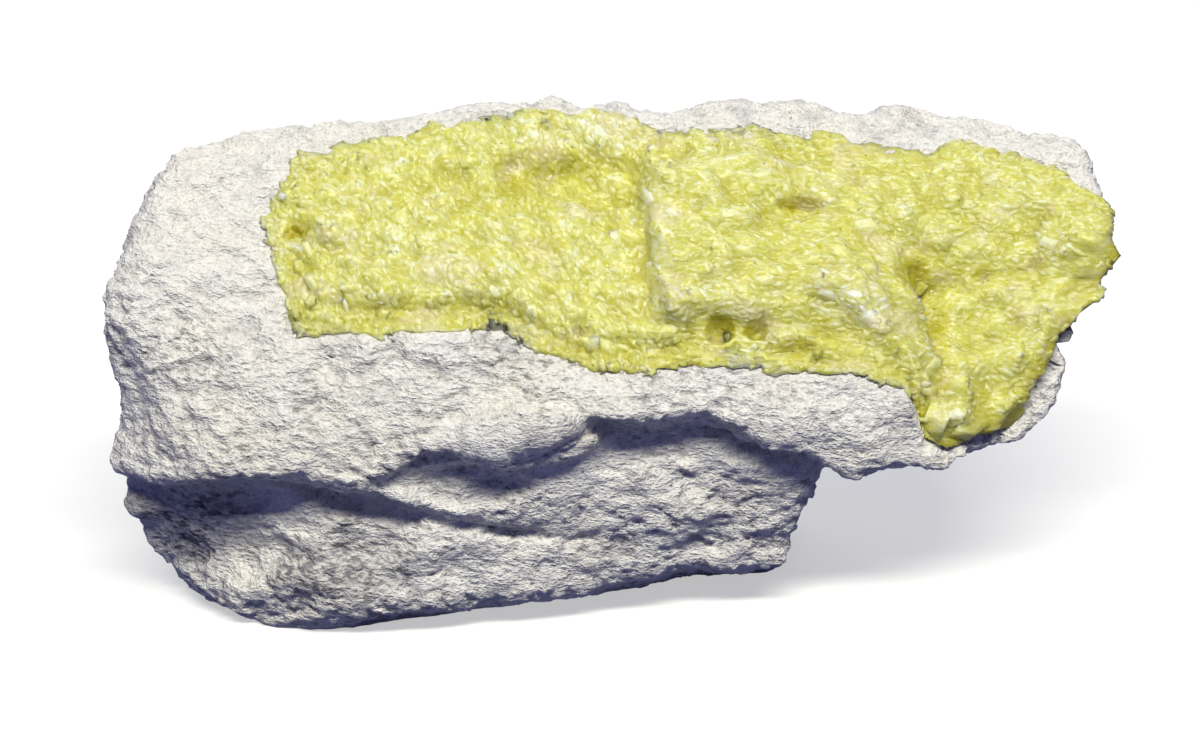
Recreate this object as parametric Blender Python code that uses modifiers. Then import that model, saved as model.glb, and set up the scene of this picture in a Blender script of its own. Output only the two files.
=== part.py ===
"""A hand specimen of native sulfur: a yellow crystalline crust bedded in the sloping front face of a
loose, pale, chalky limestone block. The block stands on a flat broken base. Its right end overhangs,
and two bedding ledges run along its front. Units are metres, +Z is up, and the front faces -Y."""

import math
import random

import bmesh
import bpy
import numpy as np
from mathutils import Matrix, Vector, noise
from mathutils.geometry import delaunay_2d_cdt

MM = 0.001

# The block is a loft through these lines, which run along it from left to right. Each holds points
# (x, y, z) in millimetres, and together they go once round the block: down the front and up the back.
RAILS = {
    "crest": (
        (-42.4, 6, 43.9), (-36, 7, 44.9), (-30, 8, 44.8), (-20, 9, 45.2), (-12, 10, 46.7), (-4, 10, 47.7),
        (4, 11, 45.5), (6.5, 12, 44.5), (10, 14, 44.3), (19, 14, 44.5), (25, 14, 43.8), (33, 14, 43.9),
        (40, 13, 43.3), (45, 11, 42.7), (48.5, 9.5, 41.8), (49.3, 8, 38.2), (51.2, 5, 35.4),
    ),
    "crust_top": (
        (-43.5, 1, 42.4), (-37, 2, 43.7), (-30, 3, 43.6), (-20, 6, 44.6), (-12, 7, 45.7), (-4, 8, 46.0),
        (2, 8, 46.2), (6, 7, 44.4), (8, 6, 44.1), (10, 7, 44.5), (16, 8, 44.4), (20, 8, 43.5),
        (28, 8, 42.1), (32, 8, 41.4), (36, 9, 42.3), (42, 8, 41.5), (46, 6, 40.3), (50, 4, 37.6),
        (51.8, 2.5, 34.5),
    ),
    "crust_foot": (
        (-49.4, -6, 31.5), (-46, -9.8, 30.8), (-40, -11.5, 30.2), (-30, -12, 29.9), (-20, -12.5, 30.1),
        (-10, -12, 30.5), (-8, -12.5, 29.3), (0, -14, 26.5), (5, -13.5, 27.5), (10, -13, 28.2),
        (16, -13.5, 26.9), (23, -13, 27.3), (29.8, -13, 25.3), (30.7, -13.3, 22), (31.4, -13.2, 19.4),
        (33, -13, 18.9),
        (37.5, -11, 18.6), (40.4, -9, 20.1), (44, -6, 23.7), (44.8, -4.5, 27.4), (46.8, -3.5, 29.9),
        (49.4, -3, 30.6),
    ),
    "band": (
        (-47, -8.8, 19.5), (-42, -14, 21.5), (-35, -16, 22.8), (-30, -16.6, 22.8), (-20, -16.6, 24.2),
        (-10, -15.9, 25.6), (-5, -16, 25.9), (0, -16.3, 25.6), (5, -15.8, 25.6), (10, -15.4, 25.8),
        (16, -15, 24), (23, -14.6, 22), (29, -14.2, 20.3), (31.2, -14, 18.2), (33, -13.8, 17.7),
        (37.5, -12.2, 18.3), (41, -9.5, 19), (44.5, -6, 22.3), (45.6, -4, 26.6), (47, -2.8, 29), (49.4, -2.2, 29.9),
    ),
    "lip": (
        (-48.8, -10, 15.3), (-45, -13.5, 16.5), (-40, -16.5, 17.7), (-35, -18, 18.8), (-30, -19, 18.8),
        (-25.5, -19.3, 17.6), (-22, -19, 18.8), (-18, -18.5, 20.9), (-14.5, -18, 21.7), (-10, -17.5, 22.1),
        (-5.5, -17.5, 23), (-4, -17.5, 24.1), (0, -17.3, 24), (4, -17, 23.4), (9, -16.5, 23.8),
        (13.5, -16, 22.4), (15, -15.8, 21), (19, -15.3, 19.8), (22, -15, 18.2), (24.2, -14.8, 17.2),
        (28, -14.5, 18.2), (31, -14.2, 17.5), (34, -13.8, 16.8), (36, -13, 18), (40, -11, 18.2),
        (43, -8.5, 18.9), (45.2, -6, 21.5), (46.2, -3.5, 25.3), (47.5, -2, 28.4), (49.5, -1.5, 29.4),
    ),
    "recess": (
        (-48.2, -9.5, 15), (-45, -13, 16), (-40, -16, 17.2), (-35, -17.5, 18.3), (-30, -18.4, 18.3),
        (-25.5, -18.7, 17.1), (-22, -17.5, 17.9), (-18, -15.4, 19.6), (-14.5, -15.8, 20.2),
        (-10, -16.3, 20.8), (-5.5, -15.9, 21.6), (-3, -14.5, 22.5), (0, -12, 22.3), (4, -11.4, 21.6),
        (9, -11, 22), (13.5, -11, 20.8), (15, -11, 19.6), (19, -10.5, 18.4), (22, -10, 17),
        (24, -9, 16.2), (30, -9, 16.2), (36, -8, 16.5), (40, -6, 17), (43, -4, 17.8), (45.2, -2, 20.3),
        (46.2, 0, 24.5), (47.5, 0, 28),
    ),
    "second_lip": (
        (-48.2, -9, 14.6), (-45, -12.4, 15.4), (-40, -15.5, 16.6), (-35, -17, 17.6), (-30, -17.9, 17.6),
        (-25.5, -18.1, 16.3), (-22, -18, 15.8), (-18, -17.6, 14.8), (-13, -16.8, 13.3), (-7, -15.2, 10.9),
        (-4.5, -14.6, 10.8), (0, -13.6, 13.4), (4, -13.4, 15.5), (9, -12.8, 17.5), (13.5, -12.4, 17.5),
        (15, -12.2, 17), (19.3, -12, 15), (21, -11, 15), (21.7, -8, 15.9), (24, -6, 15.3),
        (30, -6, 15.3), (36, -5, 16), (40, -3.5, 16.6), (43, -1.5, 17.8), (45.2, 0.5, 20.5),
        (46.5, 1.5, 25), (48, 1, 28.3),
    ),
    "groove": (
        (-48.8, -7.5, 14.2), (-44, -10.5, 14.7), (-40, -10.8, 15.6), (-35, -11.8, 16.6),
        (-30, -12.2, 16.6), (-25.5, -12.8, 15.4), (-22, -13.2, 14.2), (-18, -14.4, 13), (-13, -14, 11.8), (-7, -13.6, 10),
        (-4.5, -13.9, 9.6), (0, -13.6, 10.1), (4, -13.3, 12.2), (9, -12.6, 13), (13.5, -12.2, 12.8),
        (17.6, -12, 12), (20.6, -11.2, 11.1), (21.5, -4, 14.8), (24, -3, 14.8), (30, -2.5, 14.8),
        (36, -1.5, 15.5), (40, 0, 16.3), (43, 1.5, 17.8), (45.2, 3, 20.5), (46.7, 3.5, 25.5),
        (47.7, 2.8, 28.3),
    ),
    "bench": (
        (-48.8, -9, 11.5), (-43, -12, 12.1), (-38, -13.4, 12.4), (-32, -15.2, 12.4), (-26, -16.3, 12.3),
        (-20, -16.2, 11.8), (-13, -15.7, 10.9), (-7, -15, 9.6), (-2, -14.3, 8.8), (4, -13.4, 8.9),
        (9, -12.4, 9.6), (14, -11.8, 9.3), (17.4, -11.6, 8.9), (19.9, -11, 8), (20.8, -2, 11),
        (22.4, 1, 14.3), (30, 2, 14.3), (36, 3, 15), (40, 3.5, 16), (43, 4, 18), (45.2, 4.5, 21),
        (46.8, 4.5, 26), (47.6, 3.8, 28.5),
    ),
    "belly": (
        (-45.4, -8.5, 5.2), (-41, -11, 3.4), (-36.5, -13.5, 2.6), (-31, -15.8, 2.1), (-26, -16.3, 2.3),
        (-20, -16, 2.9), (-13, -15.3, 3.2), (-7, -14.5, 3.2), (-2, -13.7, 3.3), (4, -12.8, 3.7),
        (8, -12, 5.6), (12, -11.6, 4.8), (17.4, -11.4, 4.7), (19, -10.9, 4.7), (20, -3, 8),
        (21.4, 3, 13.6), (22, 4.5, 14.2), (30, 5.5, 14.2), (36, 6, 15), (40, 6, 16.2), (43, 6, 18.3),
        (45.2, 6, 21.5), (46.8, 5.5, 26.5), (47.5, 5, 29),
    ),
    "toe": (
        (-40.3, -7, 0), (-37.6, -9.6, 0), (-35, -12.2, 0), (-33, -14.6, 0), (-29, -15.1, 0), (-25, -14.8, 0),
        (-19, -12.5, 0), (-15, -11.5, 0), (-7, -8.3, 0), (-2, -7, 0), (4, -5.4, 0), (8, -2.9, 0),
        (12, -2.9, 0), (17, -2.5, 0), (18.2, -0.5, 0), (19, 2, 6), (20.5, 6, 13.4), (22, 8, 14.2),
        (30, 9, 14.2), (36, 9, 15), (40, 9, 16.5), (43, 8.5, 19), (45.2, 8, 22), (47, 6.5, 27.5),
    ),
    "heel": (
        (-40, 4, 0), (-34, 12, 0), (-20, 15, 0), (0, 16, 0), (12, 14, 0), (18.2, 9, 0), (19.2, 9, 8),
        (21, 13, 12), (30, 14, 12.5), (40, 14, 15), (45, 11, 21), (47.2, 7.5, 29),
    ),
    "back_belly": (
        (-44, 6, 10), (-38, 15, 12), (-25, 20, 14), (-5, 21, 13), (10, 20, 12), (17, 18, 11),
        (21, 18, 15), (32, 19, 18), (42, 16, 22), (47.5, 9, 31),
    ),
    "back_shoulder": (
        (-42.5, 8, 30), (-36, 15, 33), (-22, 18, 34), (0, 19.5, 35), (15, 20, 34), (30, 20, 34),
        (42, 17, 33), (47, 13, 33), (49.5, 8, 33),
    ),
}
# How many rows of points the loft has between each rail and the next.
ROWS_AFTER_RAIL = {
    "crest": 3, "crust_top": 10, "crust_foot": 4, "band": 4, "lip": 3, "recess": 4, "second_lip": 3, "groove": 3,
    "bench": 5, "belly": 3, "toe": 5, "heel": 4, "back_belly": 6, "back_shoulder": 5,
}
STATIONS = 100
SKIN_CELL, SKIN_EASING = 0.5, 2
BLOCK_TRIANGLES = 4500
FLAT_WITHIN = 0.1
LEFT_POLE = (-47.6, 0, 22)
RIGHT_POLE = (50.6, 2.5, 31)
LEFT_CAP_SHARES = (0.15, 0.36, 0.58, 0.8)
RIGHT_CAP_SHARES = (0.4, 0.75)

# The rough break of the limestone, in millimetres.
LUMP_HEIGHT, LUMP_WIDTH = 0.9, 13.0
CHIP_HEIGHT, CHIP_WIDTH = 0.9, 5.5
BEDDING_STRETCH = 1.7
BASE_MARGIN = 3.0
CORNER_ROUNDING = 0.3

# The crust spans the face from the crust_top rail, share 0, to the crust_foot rail, share 1. These
# are its left and right ends: the share down the face, then x in millimetres.
CRUST_LEFT = ((0, -30), (0.07, -31.4), (0.18, -30.8), (0.26, -33), (0.42, -33.8), (0.55, -32.4), (0.77, -31.7), (1, -30))
CRUST_RIGHT = ((0, 50.7), (0.3, 51.4), (0.6, 50.6), (0.8, 49.7), (1, 49.2))
BED_DEPTH = 2.0
THIN_END = (42.0, 48.0)
CRUST_ROOT = 2.9
CRUST_RIM, CRUST_PROUD = 0.5, 1.1
FIT_GAP = 0.3

# The crust's swells and hollows: x in millimetres, share down the face, half-width along x in
# millimetres, half-width down the face as a share, and height in millimetres.
RELIEF = (
    (-4, 0.27, 8, 0.14, -2.0),
    (-13, 0.28, 5, 0.12, -0.8),
    (1, 0.21, 4, 0.1, -1.0),
    (0.7, 0.38, 2.6, 0.06, -1.3),
    (-30, 0.43, 1.8, 0.06, -1.6),
    (-9.7, 0.92, 1.8, 0.07, -1.3),
    (11.8, 0.86, 1.6, 0.065, -2.2),
    (15.2, 0.82, 1.4, 0.065, -2.0),
    (21.5, 0.83, 4, 0.09, -1.6),
    (25, 0.68, 3.6, 0.13, 1.8),
    (31.5, 0.52, 4.5, 0.16, -2.2),
    (18, 0.35, 4, 0.06, -1.0),
    (48.5, 0.4, 3, 0.2, 0.9),
    (48.5, 0.87, 3, 0.15, -1.8),
    (34.5, 0.87, 1.4, 0.16, 1.6),
    (37, 0.48, 1.3, 0.05, -0.9),
    (0, 0.05, 5, 0.08, 0.7),
    (-18, 0.74, 11, 0.2, 0.6),
    (-4, 0.91, 5, 0.09, 0.7),
    (42, 0.75, 4, 0.2, 0.5),
    (9, 0.14, 3, 0.08, 0.5),
)
# One blade-like ridge runs down the face and drops off sharply on its left: share down the face, x.
RIDGE = ((0.2, 4.0), (0.38, 4.2), (0.5, 5.0), (0.6, 5.2), (0.78, 6.2))
RIDGE_HEIGHT, RIDGE_EDGE, RIDGE_FADE = 2.2, 1.2, 14.0
GRAIN_HEIGHT, GRAIN_WIDTH = 0.4, 4.0

# The crystals are steep double pyramids lying on their sides, intergrown, each with its upper faces
# showing and most of them blunt on top. Sizes are half-lengths along and across, in millimetres.
CRYSTALS = 230
CRYSTAL_REACH = (1.3, 2.6)
CRYSTAL_SLIMNESS = (0.5, 0.68)
CRYSTAL_STEEPNESS = (0.9, 1.35)
CRYSTAL_BLUNTNESS = (0.45, 0.8)
CRYSTAL_TREND, CRYSTAL_SPREAD = -25.0, 38.0
CRYSTAL_TILT = 0.3
CRYSTAL_CLEARANCE = 0.62
GROUND_POINTS, GROUND_CLEARANCE = 320, 1.15
OUTLINE_STEP, OUTLINE_WANDER = 1.7, 0.55
FACE_SPAN = 25.0
SEED = 16


def clear_scene():
    for obj in list(bpy.data.objects):
        bpy.data.objects.remove(obj, do_unlink=True)


def collection(name):
    made = bpy.data.collections.new(name)
    bpy.context.scene.collection.children.link(made)
    return made


def material(name, colour, roughness):
    made = bpy.data.materials.new(name)
    made.use_nodes = True
    surface = made.node_tree.nodes["Principled BSDF"]
    surface.inputs["Base Color"].default_value = (*colour, 1.0)
    surface.inputs["Roughness"].default_value = roughness
    surface.inputs["Metallic"].default_value = 0.0
    return made


def smoothstep(value):
    value = np.clip(value, 0.0, 1.0)
    return value * value * (3.0 - 2.0 * value)


def rough(points, width, octaves):
    """Fractal noise at each point, drawn out along the bedding, from about -1 to 1."""
    scale = Vector((1.0 / (width * BEDDING_STRETCH), 1.0 / width, 1.0 / width))
    flat = [noise.fractal(Vector(p) * scale, 1.0, 2.0, octaves) for p in points.reshape(-1, 3)]
    return np.array(flat).reshape(points.shape[:-1])


def unit(vectors):
    length = np.linalg.norm(vectors, axis=-1, keepdims=True)
    return vectors / np.maximum(length, 1e-9)


def rail_at(name, x):
    """The rail's points at the given x, in millimetres."""
    along, depth, height = np.array(RAILS[name], float).T
    return np.stack([x, np.interp(x, along, depth), np.interp(x, along, height)], axis=-1)


def rail_reach(name):
    return RAILS[name][0][0], RAILS[name][-1][0]


def edge_at(edge, share):
    shares, x = np.array(edge, float).T
    return np.interp(share, shares, x)


def closed_rows():
    """The loft's points as stations by rows by xyz, with each row's share down the crust's face, or -1."""
    t = np.linspace(0.0, 1.0, STATIONS)
    rails = {}
    for name in RAILS:
        first, last = rail_reach(name)
        rails[name] = rail_at(name, first + t * (last - first))
    names = list(RAILS)
    rows, shares = [], []
    for name, following in zip(names, names[1:] + names[:1]):
        count = ROWS_AFTER_RAIL[name]
        for k in range(count):
            rows.append(rails[name] + (rails[following] - rails[name]) * (k / count))
            shares.append(k / count if name == "crust_top" else -1.0)
    return np.stack(rows, axis=1), np.array(shares)


def cap(ring, pole, shares):
    """Rings that close an end in a shallow dome, from the pole outwards."""
    pole = np.array(pole, float)
    rings = []
    for share in shares:
        domed = pole + (ring - pole) * share
        domed[:, 0] = pole[0] + (ring[:, 0] - pole[0]) * share ** 3
        rings.append(domed)
    return np.stack(rings)


def outward(grid):
    """Unit normals of a grid that is closed round its second axis, pointing out of the block."""
    along = np.gradient(grid, axis=0)
    down = np.roll(grid, -1, axis=1) - np.roll(grid, 1, axis=1)
    return unit(np.cross(down, along))


def rounded(grid):
    """The grid with its corners eased, except where it lies on the base."""
    beside = (np.roll(grid, -1, axis=1) + np.roll(grid, 1, axis=1)) / 2.0
    eased = grid + (beside - grid) * CORNER_ROUNDING
    ahead = (eased[2:] + eased[:-2]) / 2.0
    eased[1:-1] += (ahead - eased[1:-1]) * CORNER_ROUNDING
    on_base = grid[..., 2:3] <= 0.0
    return np.where(on_base, grid, np.maximum(eased, [-np.inf, -np.inf, 0.0]))


def block_points():
    """The limestone's surface as one grid, with the crust's bed sunk into its face."""
    grid, shares = closed_rows()
    left = edge_at(CRUST_LEFT, shares)
    right = edge_at(CRUST_RIGHT, shares)
    inside = smoothstep((grid[..., 0] - left) / 2.0) * smoothstep((right - grid[..., 0]) / 2.0)
    bed = inside * (shares > 0.03)
    grid = np.concatenate([
        cap(grid[0], LEFT_POLE, LEFT_CAP_SHARES),
        grid,
        cap(grid[-1], RIGHT_POLE, RIGHT_CAP_SHARES)[::-1],
    ])
    bed = np.pad(bed, ((len(LEFT_CAP_SHARES), len(RIGHT_CAP_SHARES)), (0, 0)))
    grid = rounded(grid)
    above_base = smoothstep(grid[..., 2] / BASE_MARGIN)
    chips = 0.5 - 2.0 * np.abs(rough(grid, CHIP_WIDTH, 2))
    height = LUMP_HEIGHT * rough(grid, LUMP_WIDTH, 2) + CHIP_HEIGHT * chips
    push = height * above_base * (1.0 - bed) - BED_DEPTH * bed
    thin_end = smoothstep((THIN_END[1] - grid[..., 0]) / (THIN_END[1] - THIN_END[0]))
    return grid + outward(grid) * (push * (0.3 + 0.7 * thin_end))[..., None]


def closed_mesh(name, grid):
    """A mesh from a grid that is closed round its second axis, its two ends filled as fans."""
    stations, rows = grid.shape[:2]
    bm = bmesh.new()
    ring_verts = [[bm.verts.new(Vector(p) * MM) for p in ring] for ring in grid]
    for i in range(stations - 1):
        for j in range(rows):
            k = (j + 1) % rows
            bm.faces.new((ring_verts[i][j], ring_verts[i][k], ring_verts[i + 1][k], ring_verts[i + 1][j]))
    for ring in (ring_verts[0], ring_verts[-1]):
        middle = sum((v.co for v in ring), Vector()) / rows
        pole = bm.verts.new(middle)
        for j in range(rows):
            bm.faces.new((ring[j], ring[(j + 1) % rows], pole))
    bmesh.ops.recalc_face_normals(bm, faces=bm.faces)
    bmesh.ops.triangulate(bm, faces=bm.faces)
    mesh = bpy.data.meshes.new(name)
    bm.to_mesh(mesh)
    bm.free()
    return mesh


def face_point(x, share):
    """A point on the unworn face between the crust's two rails."""
    top, foot = rail_at("crust_top", x), rail_at("crust_foot", x)
    return top + (foot - top) * np.asarray(share)[..., None]


def face_normal(x, share):
    """The face's outward normal, averaged over a few millimetres."""
    along = face_point(x + 2.0, share) - face_point(x - 2.0, share)
    down = face_point(x, share + 0.1) - face_point(x, share - 0.1)
    return unit(np.cross(down, along))


def relief(x, share):
    """How far the crust's surface stands above the face's, in millimetres."""
    height = np.full(x.shape, CRUST_PROUD)
    for at_x, at_share, half_x, half_share, rise in RELIEF:
        away = ((x - at_x) / half_x) ** 2 + ((share - at_share) / half_share) ** 2
        height += rise * np.exp(-away)
    past = x - edge_at(RIDGE, share)
    window = smoothstep((share - 0.12) / 0.1) * smoothstep((0.86 - share) / 0.1)
    blade = smoothstep(past / RIDGE_EDGE + 0.5) * np.exp(-np.maximum(past, 0.0) / RIDGE_FADE)
    return height + RIDGE_HEIGHT * blade * window


def roofs(crystals, x, drop):
    """The height of the tallest crystal over each plan point, or zero, in millimetres."""
    height = np.zeros(len(x))
    for at_x, at_drop, turn, reach, width, peak, blunt, tilt_u, tilt_v in crystals:
        u = (x - at_x) * math.cos(turn) + (drop - at_drop) * math.sin(turn)
        v = (drop - at_drop) * math.cos(turn) - (x - at_x) * math.sin(turn)
        inside = 1.0 - np.abs(u) / reach - np.abs(v) / width
        roof = peak * np.minimum(inside, blunt) + (tilt_u * u + tilt_v * v) * (inside > -0.001)
        height = np.maximum(height, roof)
    return height


def crystal_corners(crystal):
    """The plan points of one crystal's base and of its blunt top."""
    at_x, at_drop, turn, reach, width, peak, blunt, tilt_u, tilt_v = crystal
    corners = []
    for size in (1.0, 1.0 - blunt):
        for u, v in ((reach, 0.0), (0.0, width), (-reach, 0.0), (0.0, -width)):
            x = at_x + size * (u * math.cos(turn) - v * math.sin(turn))
            corners.append((x, at_drop + size * (u * math.sin(turn) + v * math.cos(turn))))
    return corners


def edge_distance(x, drop):
    """How far each plan point lies inside the crust's outline, in millimetres."""
    share = drop / FACE_SPAN
    across = np.minimum(x - edge_at(CRUST_LEFT, share), edge_at(CRUST_RIGHT, share) - x)
    return np.minimum(across, np.minimum(drop, FACE_SPAN - drop))


def random_spot(rng):
    drop = rng.uniform(0.0, FACE_SPAN)
    left, right = edge_at(CRUST_LEFT, drop / FACE_SPAN), edge_at(CRUST_RIGHT, drop / FACE_SPAN)
    return rng.uniform(left, right), drop


def grow_crystals(rng):
    crystals = []
    tries = 0
    while len(crystals) < CRYSTALS and tries < 200 * CRYSTALS:
        tries += 1
        x, drop = random_spot(rng)
        reach = rng.uniform(*CRYSTAL_REACH)
        crowded = any(math.hypot(x - c[0], drop - c[1]) < CRYSTAL_CLEARANCE * (reach + c[3]) for c in crystals)
        if crowded or edge_distance(np.array([x]), np.array([drop]))[0] < 1.2:
            continue
        width = reach * rng.uniform(*CRYSTAL_SLIMNESS)
        peak = width * rng.uniform(*CRYSTAL_STEEPNESS)
        turn = -math.radians(CRYSTAL_TREND + rng.uniform(-CRYSTAL_SPREAD, CRYSTAL_SPREAD))
        tilts = rng.uniform(-CRYSTAL_TILT, CRYSTAL_TILT), rng.uniform(-CRYSTAL_TILT, CRYSTAL_TILT)
        crystals.append((x, drop, turn, reach, width, peak, rng.uniform(*CRYSTAL_BLUNTNESS), *tilts))
    return crystals


def outline_points(rng):
    """Plan points once round the crust's slightly ragged outline."""
    sides = []
    for edge, backwards in ((CRUST_LEFT, False), (CRUST_RIGHT, True)):
        drops = np.linspace(0.0, FACE_SPAN, int(FACE_SPAN / OUTLINE_STEP) + 1)
        side = [(float(edge_at(edge, drop / FACE_SPAN)), float(drop)) for drop in drops]
        sides.append(side[::-1] if backwards else side)
    ends = []
    for (x0, drop), (x1, _) in ((sides[0][-1], sides[1][0]), (sides[1][-1], sides[0][0])):
        count = int(abs(x1 - x0) / OUTLINE_STEP)
        ends.append([(x0 + (x1 - x0) * k / count, drop) for k in range(1, count)])
    ring = sides[0] + ends[0] + sides[1] + ends[1]
    wander = [(rng.uniform(-OUTLINE_WANDER, OUTLINE_WANDER), rng.uniform(-OUTLINE_WANDER, OUTLINE_WANDER)) for _ in ring]
    return [(x + a, drop + b) for (x, drop), (a, b) in zip(ring, wander)]


def crust_plan(crystals, rng):
    """Triangles in plan: the outline, the crystals' corners and the ground between them."""
    outline = outline_points(rng)
    inner = []
    for crystal in crystals:
        for x, drop in crystal_corners(crystal):
            if edge_distance(np.array([x]), np.array([drop]))[0] > 0.5:
                if all(math.hypot(x - a, drop - b) > 0.3 for a, b in inner):
                    inner.append((x, drop))
    for _ in range(30 * GROUND_POINTS):
        x, drop = random_spot(rng)
        if edge_distance(np.array([x]), np.array([drop]))[0] < 0.8:
            continue
        if all(math.hypot(x - a, drop - b) > GROUND_CLEARANCE for a, b in inner):
            inner.append((x, drop))
    ring = [(k, (k + 1) % len(outline)) for k in range(len(outline))]
    flat = [Vector(p) for p in outline + inner]
    places, _, triangles, _, _, _ = delaunay_2d_cdt(flat, ring, [], 1, 0.01)
    return np.array([tuple(p) for p in places]), triangles


def crust_mesh(name):
    """A closed slab: the crystals' faces in front, a plain sheet behind, and a wall round the edge."""
    rng = random.Random(SEED)
    crystals = grow_crystals(rng)
    plan, triangles = crust_plan(crystals, rng)
    x, drop = plan.T
    share = drop / FACE_SPAN
    face, normals = face_point(x, share), face_normal(x, share)
    eased_in = smoothstep(edge_distance(x, drop) / 2.0)
    height = relief(x, share) + GRAIN_HEIGHT * rough(face, GRAIN_WIDTH, 2) + roofs(crystals, x, drop)
    height = CRUST_RIM + (height - CRUST_RIM) * eased_in
    bm = bmesh.new()
    sides = []
    for points in (face + normals * height[:, None], face - normals * CRUST_ROOT):
        sides.append([bm.verts.new(Vector(p) * MM) for p in points])
    for side in sides:
        for triangle in triangles:
            bm.faces.new([side[k] for k in triangle])
    rim = [(a, b) for t in triangles for a, b in zip(t, t[1:] + t[:1])]
    seen = set(rim)
    for a, b in rim:
        if (b, a) not in seen:
            bm.faces.new((sides[0][a], sides[0][b], sides[1][b], sides[1][a]))
    bmesh.ops.recalc_face_normals(bm, faces=bm.faces)
    bmesh.ops.triangulate(bm, faces=bm.faces)
    mesh = bpy.data.meshes.new(name)
    bm.to_mesh(mesh)
    bm.free()
    return mesh


def add_object(name, mesh, holder, finish=None):
    obj = bpy.data.objects.new(name, mesh)
    holder.objects.link(obj)
    if finish:
        mesh.materials.append(finish)
    return obj


def helper(name, mesh, holder):
    obj = add_object(name, mesh, holder)
    obj.hide_render = True
    obj.display_type = "WIRE"
    return obj


def combine(obj, other, operation):
    modifier = obj.modifiers.new(operation.lower(), "BOOLEAN")
    modifier.operation = operation
    modifier.solver = "MANIFOLD"
    modifier.object = other


def facet(obj, triangles):
    """Turns a lofted body into one skin of broken facets, with its base kept flat."""
    skin = obj.modifiers.new("skin", "REMESH")
    skin.mode = "VOXEL"
    skin.voxel_size = SKIN_CELL * MM
    eased = obj.modifiers.new("eased", "SMOOTH")
    eased.factor, eased.iterations = 0.5, SKIN_EASING
    apply_modifiers(obj)
    dropped = obj.modifiers.new("facets", "DECIMATE")
    dropped.ratio = triangles / (2.0 * len(obj.data.polygons))
    apply_modifiers(obj)
    for vertex in obj.data.vertices:
        if vertex.co.z < FLAT_WITHIN * MM:
            vertex.co.z = 0.0


def grown(mesh, distance):
    """A copy of a closed mesh with every vertex moved out by the distance."""
    copy = mesh.copy()
    moved = [v.co + v.normal * distance for v in mesh.vertices]
    for vertex, place in zip(copy.vertices, moved):
        vertex.co = place
    return copy


def apply_modifiers(obj):
    graph = bpy.context.evaluated_depsgraph_get()
    mesh = bpy.data.meshes.new_from_object(obj.evaluated_get(graph))
    obj.modifiers.clear()
    obj.data = mesh


def centre_on_base(objects):
    """Moves the meshes so that the origin is the centre of the base of their common box."""
    corners = np.array([v.co for obj in objects for v in obj.data.vertices])
    low, high = corners.min(axis=0), corners.max(axis=0)
    shift = Vector((-(low[0] + high[0]) / 2.0, -(low[1] + high[1]) / 2.0, -low[2]))
    for obj in objects:
        obj.data.transform(Matrix.Translation(shift))


def build():
    clear_scene()
    specimen = collection("native_sulfur_crystal")
    cutters = collection("cutters")
    limestone = material("chalky limestone", (0.76, 0.75, 0.69), 0.95)
    sulfur = material("native sulfur", (0.78, 0.74, 0.2), 0.35)

    grid = block_points()
    block = add_object("limestone_matrix", closed_mesh("limestone_matrix", grid), specimen, limestone)
    facet(block, BLOCK_TRIANGLES)
    bed_cutter = helper("bed_cutter", grown(block.data, FIT_GAP * MM), cutters)

    crust = add_object("sulfur_crust", crust_mesh("sulfur_crust"), specimen, sulfur)
    combine(crust, bed_cutter, "DIFFERENCE")
    apply_modifiers(crust)
    centre_on_base([block, crust])
    bpy.data.objects.remove(bed_cutter, do_unlink=True)


build()
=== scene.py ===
"""A hand specimen of native sulfur: a yellow crust of intergrown crystals on a chalky limestone block."""

import math
import random

import bmesh
import bpy
import numpy as np
from mathutils import Matrix, Vector, noise
from mathutils.bvhtree import BVHTree


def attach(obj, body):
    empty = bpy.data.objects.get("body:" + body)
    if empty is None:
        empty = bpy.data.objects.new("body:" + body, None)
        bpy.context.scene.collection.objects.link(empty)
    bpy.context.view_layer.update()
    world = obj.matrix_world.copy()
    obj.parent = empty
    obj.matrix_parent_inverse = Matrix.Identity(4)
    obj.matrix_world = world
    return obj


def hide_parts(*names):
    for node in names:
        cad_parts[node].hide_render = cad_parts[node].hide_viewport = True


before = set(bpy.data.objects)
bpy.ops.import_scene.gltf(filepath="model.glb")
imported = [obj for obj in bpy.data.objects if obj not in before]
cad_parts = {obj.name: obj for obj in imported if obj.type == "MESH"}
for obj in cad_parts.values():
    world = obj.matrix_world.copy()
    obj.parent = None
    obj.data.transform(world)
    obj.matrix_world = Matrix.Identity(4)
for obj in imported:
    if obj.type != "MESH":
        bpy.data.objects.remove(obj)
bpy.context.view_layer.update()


# ---- The limestone block --------------------------------------------------------------------------
# A loose lump of soft, chalky limestone, broken on every side. It is one piece of stone: the broken
# form is resampled finely, then worn into lumps, thin flakes along the bedding and fine crumbs.

MM = 0.001
STONE_CELL = 0.30 * MM
STONE_EASING = 5
STONE_FACES = 180000
BASE_FADE = 1.4 * MM
BURIED_DEPTH = 0.6 * MM
BURIED_REACH = 2.5 * MM
# The heights where the worn crest and the smoother top begin, and how far they take, in millimetres.
CREST_START, CREST_FADE = 34.0, 6.0
SMOOTH_START, SMOOTH_FADE = 29.0, 8.0
# Places on the block: x, rise up the leaning face, half-widths both ways, and how far out the stone
# swells there, all in millimetres. Past RIGHT_END a swell also turns the corner to the side.
RIGHT_END = 40.0
STONE_SWELLS = (
    (-9, 12.6, 9, 3.2, 1.7), (-14.6, 7.6, 7, 2.6, -1.2), (-38.5, 3.0, 10, 6, -1.5), (-25, 3.5, 7, 4, -0.8),
    (49.8, 31, 4, 6, -2.0), (46.5, 23.5, 3.5, 5, -1.9),
)
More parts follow.
